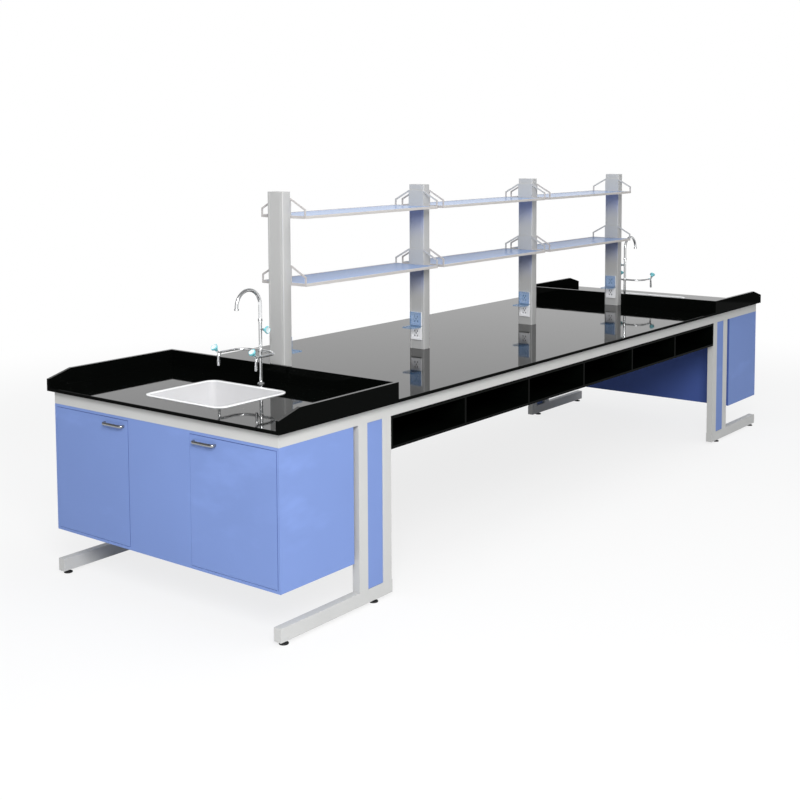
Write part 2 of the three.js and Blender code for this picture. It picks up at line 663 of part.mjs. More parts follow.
function centreFrame() {
  const reach = LENGTH / 2 - legBack;
  const through = [railBottom - PAST, railTop + PAST];
  const starts = [-reach - PAST, ...postPlaces.map((x) => x + TUBE_WIDTH / 2)];
  const stops = [...postPlaces.map((x) => x - TUBE_WIDTH / 2), reach + PAST];
  const bays = starts.map((start, i) => block([start, stops[i]], [-frameInside, frameInside], through));
  return cut(block([-reach, reach], [-frameSide, frameSide], [railBottom, railTop]), ...bays);
}

function centreWorktop() {
  const reach = LENGTH / 2 - sinkBenchDepth - TOP_JOINT;
  return block([-reach, reach], [-WIDTH / 2, WIDTH / 2], [railTop, TOP_HEIGHT]);
}

// Row of open compartments hung under the long rail of one side
function compartments(side) {
  const reach = LENGTH / 2 - legBack - PANEL_GAP;
  const height = [railBottom - COMPARTMENT_HEIGHT, railBottom];
  const bay = (2 * reach - COMPARTMENT_BOARD) / COMPARTMENTS;
  const opening = [height[0] + COMPARTMENT_BOARD, height[1] - COMPARTMENT_BOARD];
  const depth = onSide(side, frameSide - COMPARTMENT_DEPTH + COMPARTMENT_BOARD, frameSide + PAST);
  const bays = Array.from({ length: COMPARTMENTS }, (_, i) => {
    const start = -reach + COMPARTMENT_BOARD + i * bay;
    return block([start, start + bay - COMPARTMENT_BOARD], depth, opening);
  });
  const box = block([-reach, reach], onSide(side, frameSide - COMPARTMENT_DEPTH, frameSide), height);
  return cut(box, ...bays);
}

bench.add(piece('centre_frame', centreFrame(), greyPaint));
bench.add(piece('worktop_centre', centreWorktop(), blackTop));
bench.add(piece('compartments_front', compartments(-1), blackBoard));
bench.add(piece('compartments_back', compartments(1), blackBoard));

// Shelf bracket on one face of a post: a plate with a window beside the post and a ledge for the glass.
// Heights are from the shelf's underside, and facing is 1 towards +X.
function bracket(facing) {
  const edge = SHELF_DEPTH / 2;
  const shoulder = POST_WIDTH / 2;
  const slope = (BRACKET_TOP - BRACKET_END) / (edge - shoulder);
  const slant = BRACKET_BAR * Math.hypot(1, slope); // the sloping bar's height, measured upright
  const under = (y) => BRACKET_TOP - (y - shoulder) * slope - slant;
  const shape = outline([
    [-edge, 0], [edge, 0], [edge, BRACKET_END], [shoulder, BRACKET_TOP],
    [-shoulder, BRACKET_TOP], [-edge, BRACKET_END],
  ]);
  const inner = edge - BRACKET_BAR;
  const face = POST_DEPTH / 2;
  const windows = [-1, 1].map((side) => plateAcross(outline([
    [side * shoulder, RAIL_HEIGHT],
    [side * inner, RAIL_HEIGHT],
    [side * inner, under(inner)],
    [side * shoulder, under(shoulder)],
  ]), onSide(facing, face - PAST, face + BRACKET_THICKNESS + PAST)));
  const ledgeSide = edge - RAIL_THICKNESS - SHELF_GAP;
  const ledgeEnd = face + BRACKET_THICKNESS + LEDGE_LENGTH;
  const plate = cut(plateAcross(shape, onSide(facing, face, face + BRACKET_THICKNESS)), ...windows);
  return plate.add(block(onSide(facing, face, ledgeEnd), [-ledgeSide, ledgeSide], [0, GLASS_LIFT]));
}

// Socket on the post's face: a square housing with a shallow recessed face. Height is to its lower edge.
function socket(facing, height) {
  const front = POST_DEPTH / 2 + SOCKET_DEPTH;
  const half = SOCKET_SIZE / 2;
  const rim = (SOCKET_SIZE - SOCKET_FACE) / 2;
  const upright = [height, height + SOCKET_SIZE];
  const housing = block(onSide(facing, POST_DEPTH / 2, front), [-half, half], upright);
  return cut(housing, block(
    onSide(facing, front - SOCKET_RECESS, front + PAST),
    [-SOCKET_FACE / 2, SOCKET_FACE / 2],
    [height + rim, height + SOCKET_SIZE - rim],
  ));
}

const socketHeights = { lower: SOCKET_LIFT, upper: SOCKET_LIFT + SOCKET_PITCH };

// The sockets face the next bay on the first post and the bay before on the others
const socketFacing = (index) => (index === 0 ? 1 : -1);

// Post with its shelf brackets and sockets, on its own axis with the worktop's surface at zero
function post(index) {
  const [a, b] = [POST_DEPTH / 2, POST_WIDTH / 2];
  const column = raised(roundedRectangle(POST_DEPTH, POST_WIDTH, POST_ROUND), [0, POST_HEIGHT], 2);
  const grooves = [-1, 1].flatMap((facing) => [-1, 1].map((side) => block(
    onSide(facing, a - POST_GROOVE / 2, a + PAST),
    onSide(side, b - GROOVE_INSET - POST_GROOVE, b - GROOVE_INSET),
    [-PAST, POST_HEIGHT + PAST],
  )));
  const facings = [index > 0 && -1, index < POST_COUNT - 1 && 1].filter(Boolean);
  const brackets = facings.flatMap((facing) =>
    SHELF_HEIGHTS.map((height) => bracket(facing).translate([0, 0, height])));
  const sockets = Object.values(socketHeights).map((height) => socket(socketFacing(index), height));
  return join(cut(column, ...grooves), ...brackets, ...sockets);
}

// Splash cover of a socket, drawn shut about its hinge line, which runs along Y
const hingeOut = COVER_GAP + COVER_KNUCKLE; // socket's face to the hinge line

function socketCover(facing) {
  const half = SOCKET_SIZE / 2;
  const outer = COVER_DEPTH - hingeOut;
  const shell = block(onSide(facing, -COVER_KNUCKLE, outer), [-half, half], [-SOCKET_SIZE, 0]);
  const inside = block(
    onSide(facing, -COVER_KNUCKLE - PAST, outer - COVER_WALL),
    [-half + COVER_WALL, half - COVER_WALL],
    [-SOCKET_SIZE + COVER_WALL, -COVER_WALL],
  );
  const knuckle = rod(COVER_KNUCKLE, [-half, half], KNUCKLE_SIDES).rotate([90, 0, 0]);
  return cut(shell, inside).add(knuckle);
}

postPlaces.forEach((x, index) => {
  const number = index + 1;
  const postMesh = piece(`post_${number}`, post(index), postGrey);
  postMesh.position.set(x, 0, TOP_HEIGHT);
  bench.add(postMesh);
  const facing = socketFacing(index);
  for (const [level, height] of Object.entries(socketHeights)) {
    const cover = piece(`socket_cover_${number}_${level}`, socketCover(facing), coverBlue);
    const hinge = POST_DEPTH / 2 + SOCKET_DEPTH + hingeOut;
    cover.position.set(x + facing * hinge, 0, TOP_HEIGHT + height + SOCKET_SIZE);
    // The lower cover stands open, level with the worktop
    if (level === 'lower') cover.rotation.y = -facing * (Math.PI / 2);
    bench.add(cover);
  }
});

// Shelf of one bay: a glass pane between two edge rails, with its underside at zero
const bayClear = POST_DEPTH + 2 * (BRACKET_THICKNESS + SHELF_GAP);

function shelf() {
  const reach = (postPitch - bayClear) / 2;
  const edge = SHELF_DEPTH / 2;
  const rails = [-1, 1].map((side) =>
    block([-reach, reach], onSide(side, edge - RAIL_THICKNESS, edge), [0, RAIL_HEIGHT]));
  const glassSide = edge - GLASS_INSET;
  const pane = block([-reach, reach], [-glassSide, glassSide], [GLASS_LIFT, GLASS_LIFT + GLASS_THICKNESS]);
  return join(pane, ...rails);
}

SHELF_HEIGHTS.forEach((height, tier) => {
  for (let bay = 0; bay < POST_COUNT - 1; bay += 1) {
    const mesh = piece(`shelf_${['lower', 'upper'][tier]}_${bay + 1}`, shelf(), blueGlass);
    mesh.position.set(postPlaces[bay] + postPitch / 2, 0, TOP_HEIGHT + height);
    bench.add(mesh);
  }
});

export default bench;
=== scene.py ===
import json
import math

import bmesh
import bpy
from mathutils import Matrix, Vector


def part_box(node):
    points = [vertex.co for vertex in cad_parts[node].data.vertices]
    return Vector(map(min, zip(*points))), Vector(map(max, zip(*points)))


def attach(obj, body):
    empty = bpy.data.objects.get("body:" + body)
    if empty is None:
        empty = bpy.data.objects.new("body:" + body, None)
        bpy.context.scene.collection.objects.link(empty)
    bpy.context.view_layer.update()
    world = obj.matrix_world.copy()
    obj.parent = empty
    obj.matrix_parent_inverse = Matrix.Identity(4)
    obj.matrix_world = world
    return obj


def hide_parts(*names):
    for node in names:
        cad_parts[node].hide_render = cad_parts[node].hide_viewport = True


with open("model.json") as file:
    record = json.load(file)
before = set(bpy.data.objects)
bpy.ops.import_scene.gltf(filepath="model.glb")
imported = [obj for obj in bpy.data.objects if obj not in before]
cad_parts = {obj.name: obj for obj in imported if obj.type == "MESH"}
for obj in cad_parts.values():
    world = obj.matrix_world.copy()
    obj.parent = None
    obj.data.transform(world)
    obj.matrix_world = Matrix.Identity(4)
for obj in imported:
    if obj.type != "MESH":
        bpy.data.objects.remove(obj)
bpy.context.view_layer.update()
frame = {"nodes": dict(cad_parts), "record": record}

ENDS = ("near", "far")
SIDES = ("front", "back")
OUTWARD = {"near": -1, "far": 1}  # way along X out of each end

# Sizes in metres, as on the solids
TOP = 0.902  # worktop surface
BOWL_BOTTOM = TOP - 0.250  # underside of the sink bowls
TAP_AXIS = {"near": -1.828, "far": 1.864}
SINK_MIDDLE = 2.124
SINK_RIM = (0.450, 0.516)
FACE = 2.475  # outer face of the cabinet doors
POSTS = (-1.689, -0.563, 0.563, 1.689)
POST_DEPTH = 0.056
POST_WIDTH = 0.100
END_FACE = 1.7155  # just inside the outward faces of the two end posts
SHELF_UNDERSIDES = (1.361, 1.686)
SOCKET_SIZE = 0.073
SOCKET_LEVELS = {"lower": TOP + 0.051, "upper": TOP + 0.131}
SOCKETS_TOP = TOP + 0.25  # a height above all the sockets

# Tap and handle sizes in metres; heights on the tap are above the worktop
ARM_HEIGHT = 0.160
ARM_REACH = 0.124
ARM_FORWARD = 0.158
ARM_RADIUS = 0.006
ARM_SWEEP = 0.070  # bend of an arm towards the sink
ARM_TURN = 0.022  # bend of an arm down to its nozzle
NOZZLE_TOP = 0.099
BARBS_START = 0.097
KNOB_LEAN = math.radians(42)
KNOB_OUT = 0.0174  # arm's corner to a side knob
MAIN_KNOB_OUT = 0.0259  # column's axis to the main knob
MAIN_VALVE = 0.263
SWIVEL = 0.300
SPOUT_RISE = 0.080
SPOUT_REACH = 0.156
SPOUT_MOUTH = 0.069
SPOUT_RADIUS = 0.009
SPOUT_FOOT = 0.001  # start of the tube above the swivel
MOUTH_LAP = 0.002  # end of the tube above the mouth
KNOB_RADIUS = 0.019
KNOB_LOBES = 4
LOBE_DEPTH = 0.0025
KNOB_FACE = 0.0249  # height of the knob's end face
CAP_RADIUS = 0.0142
CAP_BEVEL = 0.001
CAP_SINK = 0.0005  # cap below the knob's end face
HANDLE_RADIUS = 0.0055
HANDLE_REACH = 0.0185  # door's face to the middle of the bar
HANDLE_CORNER = 0.012
HANDLE_STRETCH = 1.3  # height of the bar over its thickness

# Shelf and socket sizes in metres
RAIL_THICKNESS = 0.008
PANE_INSET = 0.004
PANE_LEVELS = (0.006, 0.012)
# The socket holes are drawn as short dark bars, which are painted shade
HOLE_SHADE_LIFT = 0.0055  # post's face to the middle of a contact
HOLE_SHADE_SIZE = {"Width": 0.0042, "Height": 0.0095, "Depth": 0.0014}
HOLE_SHADE_PLACES = ((-0.0085, 0.013), (0.0085, 0.013), (-0.009, -0.013), (0.009, -0.013), (0, 0.001))

# Radii of rounded edges in metres, and the way that they are cut
FRAME_ROUND = 0.0025
PANEL_ROUND = 0.0012
BOARD_ROUND = 0.001
COVER_ROUND = 0.0007
WORKTOP_ROUND = 0.0015
CABINET_ROUND = 0.0008
DOOR_ROUND = 0.0035
POST_ROUND = 0.0009
RAIL_ROUND = 0.001
ROUNDING = {"segments": 2, "profile": 0.5, "affect": "EDGES"}

# Facets round each turned piece and round the floor
COLUMN_FACETS = 40
SPOUT_FACETS = 36
BONNET_FACETS = 28
BARB_FACETS = 28
KNOB_FACETS = 64
FLOOR_FACETS = 96

# Blue light from the shelves' glass, painted on the posts under each shelf
GLOW_DEPTH = 0.19
GLOW_SHARE = 0.62
GLOW_INSET = 0.0012  # from the edges of a post's broad face

# Mesh tolerances in metres, and the edge angles (SHARP, in degrees) at which shading breaks
WELD = 1e-6
SEAM = 2e-5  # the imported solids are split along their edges
SKIN = 0.0005  # a face this far past a level belongs to what stands out there
SOCKET_SKIN = 0.0002  # the same for the sockets on a post's face
COPLANAR = math.radians(1)  # facets that meet at less than this are one face
ROUND_FROM = math.radians(40)  # edges that are sharper than this are rounded
SHARP_FLAT = 15
SHARP_TURNED = 25
SHARP_MOULDED = 50
SQUARE_ON = 0.97  # a normal's share along an axis, for a face square to it
ROUGHLY_ON = 0.9

# Light of the studio
SKY_FILL = 0.42
SKY_DARK = 0.10
SKY_FADE = (0.35, 0.85)
VIEW_DIRECTION = (0.79, 0.61, 0.0)  # level direction of the photograph's view
FLOOR_RADIUS = 9.5
FLOOR_FADE = (3.2, 6.5)
FLOOR_GLOW = 0.80


# Materials: arithmetic on a socket adds Math nodes, and Finish.add makes any other node
class Value:
    def __init__(self, finish, socket):
        self.finish = finish
        self.socket = socket

    def _math(self, operation, a, b):
        return self.finish.add("Math", {"operation": operation}, {0: a, 1: b})

    def __add__(self, other):
        return self._math("ADD", self, other)

    def __mul__(self, other):
        return self._math("MULTIPLY", self, other)

    def __gt__(self, other):
        return self._math("GREATER_THAN", self, other)

    def __lt__(self, other):
        return self._math("LESS_THAN", self, other)

    def __abs__(self):
        return self._math("ABSOLUTE", self, 0.0)

    def larger(self, other):
        return self._math("MAXIMUM", self, other)

    __radd__ = __add__
    __rmul__ = __mul__


class Finish:
    def __init__(self, name, world=None):
        self.owner = world or bpy.data.materials.new(name)
        self.owner.use_nodes = True
        self.tree = self.owner.node_tree
        self.tree.nodes.clear()

    def add(self, kind, settings=None, inputs=None, output=0):
        node = self.tree.nodes.new("ShaderNode" + kind)
        for key, value in (settings or {}).items():
            setattr(node, key, value)
        for key, value in (inputs or {}).items():
            named = [s for s in node.inputs if s.enabled and s.name == key]
            socket = node.inputs[key] if isinstance(key, int) else named[0]
            if isinstance(value, Value):
                self.tree.links.new(value.socket, socket)
            else:
                socket.default_value = value
        outputs = [s for s in node.outputs if s.enabled]
        socket = outputs[output] if isinstance(output, int) else node.outputs[output]
        return Value(self, socket)

    def noise(self, scale, detail=2.0, roughness=0.5, stretch=(1, 1, 1)):
        place = self.add("TexCoord", output="Object")
        place = self.add("Mapping", inputs={"Vector": place, "Scale": stretch})
        inputs = {"Vector": place, "Scale": scale, "Detail": detail, "Roughness": roughness}
        return self.add("TexNoise", inputs=inputs)

    def axis(self, letter):
        place = self.add("TexCoord", output="Object")
        return self.add("SeparateXYZ", inputs={"Vector": place}, output=letter)

    def mix(self, factor, a, b):
        inputs = {"Factor": factor, "A": a, "B": b}
        return self.add("Mix", {"data_type": "RGBA"}, inputs)

    def rays(self):
        names = ("Is Camera Ray", "Is Glossy Ray", "Is Transmission Ray")
        return [self.add("LightPath", output=name) for name in names]

    def bump(self, height, strength, distance):
        return self.add("Bump", inputs={"Height": height, "Strength": strength, "Distance": distance})

    def surface(self, **inputs):
        named = {key.replace("_", " "): value for key, value in inputs.items()}
        shader = self.add("BsdfPrincipled", inputs=named)
        self.add_output(shader)
        return self.owner

    def add_output(self, shader):
        node = self.tree.nodes.new("ShaderNodeOutputMaterial")
        self.tree.links.new(shader.socket, node.inputs["Surface"])


def srgb(red, green, blue):
    def linear(value):
        value /= 255
        return value / 12.92 if value <= 0.04045 else ((value + 0.055) / 1.055) ** 2.4
    return (linear(red), linear(green), linear(blue), 1)


def shade(colour, factor):
    return (*(channel * factor for channel in colour[:3]), 1)


def powder_paint(name, colour, roughness=0.42):
    """Stoved powder paint: orange peel and faint cloudiness."""
    finish = Finish(name)
    clouds = finish.noise(4.0, detail=3)
    peel = finish.noise(520.0, detail=2)
    return finish.surface(
        Base_Color=finish.mix(clouds, shade(colour, 0.955), shade(colour, 1.04)),
        Roughness=roughness + 0.08 * finish.noise(60.0, detail=3),
        Normal=finish.bump(peel, strength=0.16, distance=0.0006),
        Specular_IOR_Level=0.3,
    )


def laminate(name, colour):
    """Smooth pressed laminate with a fine pore, slight shade drift and pale streaky patches."""
    finish = Finish(name)
    drift = finish.noise(2.2, detail=2)
    pore = finish.noise(900.0, detail=3, roughness=0.6)
    tone = finish.mix(drift, shade(colour, 0.94), shade(colour, 1.05))
    tone = finish.mix(0.10 * pore, tone, shade(colour, 1.25))
    pale_streaks = finish.add("MapRange", {"interpolation_type": "SMOOTHSTEP"}, {
        "Value": finish.noise(1.9, detail=4, roughness=0.55, stretch=(1, 1, 2.4)),
        "From Min": 0.54, "From Max": 0.74})
    tone = finish.mix(0.20 * pale_streaks, tone, shade(colour, 1.55))
    return finish.surface(
        Base_Color=tone,
        Roughness=0.45,
        Normal=finish.bump(pore, strength=0.10, distance=0.0003),
        Specular_IOR_Level=0.0,
        Coat_Weight=0.15,
        Coat_Roughness=0.30 + 0.14 * finish.noise(35.0, detail=3),
    )


def polished_black(name, polish):
    """Black slab with fine pale flecks in its body and a faint haze on its polish."""
    finish = Finish(name)
    fleck = finish.noise(700.0, detail=2, roughness=0.7) > 0.69
    haze = finish.noise(14.0, detail=4)
    return finish.surface(
        Base_Color=finish.mix(fleck, (0.0018, 0.0022, 0.0019, 1), (0.012, 0.014, 0.013, 1)),
        Roughness=0.35 + 0.20 * haze,
        Specular_IOR_Level=0.0,
        Coat_Weight=polish,
        Coat_Roughness=0.020 + 0.035 * haze,
    )


def black_board(name):
    """Black faced board with a green cast and a fine grain."""
    finish = Finish(name)
    grain = finish.noise(40.0, detail=4, roughness=0.6, stretch=(0.2, 1, 1))
    return finish.surface(
        Base_Color=finish.mix(grain, (0.0006, 0.0009, 0.0007, 1), (0.0016, 0.0024, 0.0018, 1)),
        Roughness=0.34 + 0.15 * grain,
        Specular_IOR_Level=0.0,
        Coat_Weight=0.12,
        Coat_Roughness=0.25,
        Normal=finish.bump(finish.noise(700.0, detail=2), strength=0.08, distance=0.0003),
    )


def glazed_white(name):
    """Glossy white moulded basin, painted grey as shade in the bowl and brighter white as light on
    the rim above the worktop.
    """
    finish = Finish(name)
    cloud = finish.noise(9.0, detail=3)
    # Painted shade and light: the grey below is the bowl's shade, and the rim above the worktop gets
    # a brighter white
    tone = finish.mix(cloud, srgb(206, 205, 207), srgb(216, 216, 217))
    rim = finish.axis("Z") > TOP + SKIN
    return finish.surface(
        Base_Color=finish.mix(rim, tone, srgb(246, 246, 247)),
        Roughness=0.16 + 0.10 * finish.noise(40.0, detail=3),
        Normal=finish.bump(finish.noise(160.0, detail=2), strength=0.05, distance=0.0004),
        Coat_Weight=0.3,
    )


def chrome_plate(name, tone=1.0):
    """Polished plating with slight wipe marks."""
    finish = Finish(name)
    wipe = finish.noise(90.0, detail=4, roughness=0.6)
    return finish.surface(
        Base_Color=finish.mix(wipe, shade((0.84, 0.85, 0.86), tone), shade((0.93, 0.94, 0.95), tone)),
        Metallic=0.88,
        Roughness=0.06 + 0.10 * wipe,
    )


def moulded(name, colour, roughness):
    """Moulded plastic with a fine texture."""
    finish = Finish(name)
    swirl = finish.noise(28.0, detail=3)
    return finish.surface(
        Base_Color=finish.mix(swirl, shade(colour, 0.93), shade(colour, 1.06)),
        Roughness=roughness + 0.10 * finish.noise(120.0, detail=3),
        Normal=finish.bump(finish.noise(800.0, detail=2), strength=0.07, distance=0.0003),
    )


def coated_extrusion(name, colour, painted_glass_light):
    """Coated aluminium extrusion with fine lines along it, and blue light from the shelves' glass
    painted under the shelves.
    """
    finish = Finish(name)
    lines = finish.noise(300.0, detail=3, roughness=0.6, stretch=(1, 1, 0.02))
    tone = finish.mix(finish.noise(5.0, detail=2), shade(colour, 0.95), shade(colour, 1.04))
    height = finish.axis("Z")
    inside = abs(finish.axis("X")) < END_FACE
    broad_face = abs(finish.axis("Y")) < POST_WIDTH / 2 - GLOW_INSET
    # Painted light: the posts' broad faces turn bluer towards the underside of each shelf
    for underside in SHELF_UNDERSIDES:
        glow = finish.add("MapRange", {"interpolation_type": "SMOOTHSTEP"}, {
            "Value": height, "From Min": underside - GLOW_DEPTH, "From Max": underside,
            "To Min": 0.0, "To Max": GLOW_SHARE})
        tone = finish.mix(glow * (height < underside) * (inside * broad_face), tone, painted_glass_light)
    return finish.surface(
        Base_Color=tone,
        Roughness=0.38 + 0.16 * lines,
        Metallic=0.15,
        Normal=finish.bump(lines, strength=0.08, distance=0.0003),
        Specular_IOR_Level=0.3,
    )


def tinted_glass(name, colour, alpha):
    """Tinted pane with faint dust that scatters a little."""
    finish = Finish(name)
    dust = finish.noise(45.0, detail=5, roughness=0.65)
    return finish.surface(
        Base_Color=finish.mix(dust, shade(colour, 0.96), shade(colour, 1.06)),
        Roughness=0.06 + 0.10 * dust,
        Alpha=alpha + 0.06 * dust,
        IOR=1.04,
    )


def rubber(name):
    finish = Finish(name)
    grit = finish.noise(420.0, detail=4, roughness=0.7)
    return finish.surface(
        Base_Color=finish.mix(grit, (0.007, 0.007, 0.0075, 1), (0.018, 0.018, 0.018, 1)),
        Roughness=0.55 + 0.25 * grit,
        Normal=finish.bump(grit, strength=0.25, distance=0.0005),
    )


GREY = powder_paint("grey_paint", srgb(200, 200, 198))
BLUE = laminate("blue_laminate", srgb(124, 147, 203))
# Painted shade: a deeper blue for the cabinets' back boards and the doors' rounded edges
PAINTED_SHADE_BLUE = laminate("painted_shade_blue", srgb(78, 100, 168))
SLAB = polished_black("black_slab", polish=0.80)
SLAB_EDGE = polished_black("slab_edge", polish=0.05)
BOARD = black_board("black_board")
BASIN = glazed_white("white_basin")
CHROME = chrome_plate("chrome")
HANDLE_METAL = chrome_plate("handle_metal", tone=0.38)
TEAL = moulded("teal_knob", srgb(122, 200, 210), roughness=0.30)
CAP = moulded("pale_cap", srgb(232, 246, 248), roughness=0.25)
POST_GREY = coated_extrusion("post_grey", srgb(196, 196, 195), painted_glass_light=srgb(128, 150, 218))
RAIL_GREY = powder_paint("rail_grey", srgb(198, 194, 191), roughness=0.36)
BRACKET_GREY = powder_paint("bracket_grey", srgb(190, 186, 185), roughness=0.36)
GLASS = tinted_glass("blue_glass", srgb(164, 187, 226), alpha=0.80)
COVER = tinted_glass("cover_blue", srgb(122, 168, 216), alpha=0.28)
SOCKET_WHITE = moulded("socket_white", srgb(250, 250, 252), roughness=0.30)
# Painted shade: the dark inside the socket holes, drawn as dark bars
HOLE_SHADE = moulded("painted_hole_shade", srgb(38, 40, 44), roughness=0.50)
PAD = rubber("pad_rubber")


# Mesh building
def finished(name, bm, materials, sharp=SHARP_TURNED):
    bmesh.ops.remove_doubles(bm, verts=bm.verts, dist=WELD)
    bmesh.ops.dissolve_degenerate(bm, dist=WELD, edges=bm.edges)
    bmesh.ops.recalc_face_normals(bm, faces=bm.faces)
    mesh = bpy.data.meshes.new(name)
    bm.to_mesh(mesh)
    bm.free()
    return placed(name, mesh, materials, sharp)


def placed(name, mesh, materials, sharp=SHARP_TURNED):
    if "custom_normal" in mesh.attributes:
        mesh.attributes.remove(mesh.attributes["custom_normal"])
    for i, material in enumerate(materials):
        if i < len(mesh.materials):
            mesh.materials[i] = material
        else:
            mesh.materials.append(material)
    mesh.polygons.foreach_set("use_smooth", [True] * len(mesh.polygons))
    mesh.set_sharp_from_angle(angle=math.radians(sharp))
    piece = bpy.data.objects.new(name, mesh)
    bpy.context.scene.collection.objects.link(piece)
    return piece


def body_of(node):
    bodies = frame["record"]["behaviour"]["bodies"]
    return next(body for body, members in bodies.items() if node in members)


def stand_for(piece, node):
    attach(piece, body_of(node))
    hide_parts(node)


def soft_edged(node, edge):
    """A copy of the node's solid with its sharp edges rounded over."""
    bm = bmesh.new()
    bm.from_mesh(frame["nodes"][node].data)
    bmesh.ops.remove_doubles(bm, verts=bm.verts, dist=SEAM)
    bmesh.ops.dissolve_limit(bm, angle_limit=COPLANAR, verts=bm.verts, edges=bm.edges)
    bm.normal_update()
    sharp = [e for e in bm.edges if e.is_manifold and e.calc_face_angle(0) > ROUND_FROM]
    bmesh.ops.bevel(bm, geom=sharp, offset=edge, clamp_overlap=True, **ROUNDING)
    return bm


def loft(bm, loops, close_start=True, close_end=True, material=0):
    """Skins a row of point loops of equal length."""
    rings = [[bm.verts.new(point) for point in loop] for loop in loops]
    for a, b in zip(rings, rings[1:]):
        for i in range(len(a)):
            j = (i + 1) % len(a)
            bm.faces.new((a[i], a[j], b[j], b[i])).material_index = material
    if close_start:
        bm.faces.new(rings[0][::-1]).material_index = material
    if close_end:
        bm.faces.new(rings[-1]).material_index = material


def circle(radius, height, count):
    turns = [2 * math.pi * i / count for i in range(count)]
    return [(radius * math.cos(turn), radius * math.sin(turn), height) for turn in turns]


def lathe(bm, profile, count=COLUMN_FACETS, matrix=None):
    loops = [circle(radius, height, count) for radius, height in profile]
    if matrix:
        loops = [[matrix @ Vector(point) for point in loop] for loop in loops]
    loft(bm, loops)


def rounded_loop(depth, width, corner, height, steps=8):
    """A rounded rectangle as a loop of points, corner by corner."""
    points = []
    for quarter, (way_x, way_y) in enumerate(((1, 1), (-1, 1), (-1, -1), (1, -1))):
        x = way_x * (depth / 2 - corner)
        y = way_y * (width / 2 - corner)
        for step in range(steps + 1):
            turn = math.pi / 2 * (quarter + step / steps)
            points.append((x + corner * math.cos(turn), y + corner * math.sin(turn), height))
    return points


# Geometry Nodes: each tree takes a geometry and the named values, and gives a mesh in one finish
def node_tree(name, **kinds):
    tree = bpy.data.node_groups.new(name, "GeometryNodeTree")
    tree.interface.new_socket("Geometry", in_out="INPUT", socket_type="NodeSocketGeometry")
    for key, kind in kinds.items():
        tree.interface.new_socket(key, in_out="INPUT", socket_type="NodeSocket" + kind)
    tree.interface.new_socket("Finish", in_out="INPUT", socket_type="NodeSocketMaterial")
    tree.interface.new_socket("Geometry", in_out="OUTPUT", socket_type="NodeSocketGeometry")
    return tree, tree.nodes.new("NodeGroupInput").outputs


def wire(tree, kind, settings=None, inputs=None):
    node = tree.nodes.new(kind)
    for key, value in (settings or {}).items():
        setattr(node, key, value)
    for key, value in (inputs or {}).items():
        socket = node.inputs[key]
        if isinstance(value, bpy.types.NodeSocket):
            tree.links.new(value, socket)
        else:
            socket.default_value = value
    return node.outputs[0]


def dressed(tree, given, geometry):
    """Ends a tree with plain geometry in the finish given."""
    real = wire(tree, "GeometryNodeRealizeInstances", inputs={"Geometry": geometry})
    result = wire(tree, "GeometryNodeSetMaterial", inputs={
        "Geometry": real, "Material": given["Finish"]})
    out = tree.nodes.new("NodeGroupOutput")
    tree.links.new(result, out.inputs[0])
    return tree


def bent_tube_tree():
    """A round bar along a row of points, with a corner radius given for each point."""
    tree, given = node_tree("bent_tube", Radius="Float", Sides="Int", Steps="Int")
    route = wire(tree, "GeometryNodeMeshToCurve", inputs={"Mesh": given["Geometry"]})
    corner = wire(tree, "GeometryNodeInputNamedAttribute", {"data_type": "FLOAT"}, {"Name": "bend"})
    bend = wire(tree, "GeometryNodeFilletCurve", {"mode": "POLY"}, {
        "Curve": route, "Count": given["Steps"], "Radius": corner, "Limit Radius": True})
    ring = wire(tree, "GeometryNodeCurvePrimitiveCircle", inputs={
        "Resolution": given["Sides"], "Radius": given["Radius"]})
    bar = wire(tree, "GeometryNodeCurveToMesh", inputs={
        "Curve": bend, "Profile Curve": ring, "Fill Caps": True})
    return dressed(tree, given, bar)


def stacked_rings_tree():
    """Hose barbs: cones stacked along a line."""
    tree, given = node_tree("stacked_rings", Count="Int", Pitch="Float", Neck="Float", Edge="Float")
    offset = wire(tree, "ShaderNodeCombineXYZ", inputs={"Z": given["Pitch"]})
    line = wire(tree, "GeometryNodeMeshLine", inputs={"Count": given["Count"], "Offset": offset})
    cone = wire(tree, "GeometryNodeMeshCone", inputs={
        "Vertices": BARB_FACETS, "Radius Top": given["Edge"], "Radius Bottom": given["Neck"],
        "Depth": given["Pitch"]})
    rings = wire(tree, "GeometryNodeInstanceOnPoints", inputs={"Points": line, "Instance": cone})
    return dressed(tree, given, rings)


def hole_shade_tree():
    """Painted shade for the sockets' holes: one short dark bar on every point given."""
    tree, given = node_tree("socket_hole_shades", Width="Float", Height="Float", Depth="Float")
    size = wire(tree, "ShaderNodeCombineXYZ", inputs={
        "X": given["Depth"], "Y": given["Width"], "Z": given["Height"]})
    bar = wire(tree, "GeometryNodeMeshCube", inputs={"Size": size})
    bars = wire(tree, "GeometryNodeInstanceOnPoints", inputs={
        "Points": given["Geometry"], "Instance": bar})
    return dressed(tree, given, bars)


def grown(tree, points, edges=(), bends=(), **values):
    """Runs a tree over points and returns the plain mesh it makes."""
    mesh = bpy.data.meshes.new("route")
    mesh.from_pydata(points, edges, [])
    if bends:
        mesh.attributes.new("bend", "FLOAT", "POINT").data.foreach_set("value", bends)
    holder = bpy.data.objects.new("route", mesh)
    bpy.context.scene.collection.objects.link(holder)
    modifier = holder.modifiers.new("shape", "NODES")
    modifier.node_group = tree
    names = {s.name: s.identifier for s in tree.interface.items_tree if s.in_out == "INPUT"}
    for key, value in values.items():
        modifier[names[key]] = value
    holder.update_tag()
    bpy.context.view_layer.update()
    ready = holder.evaluated_get(bpy.context.evaluated_depsgraph_get())
    result = bpy.data.meshes.new_from_object(ready)
    bpy.data.objects.remove(holder)
    return result


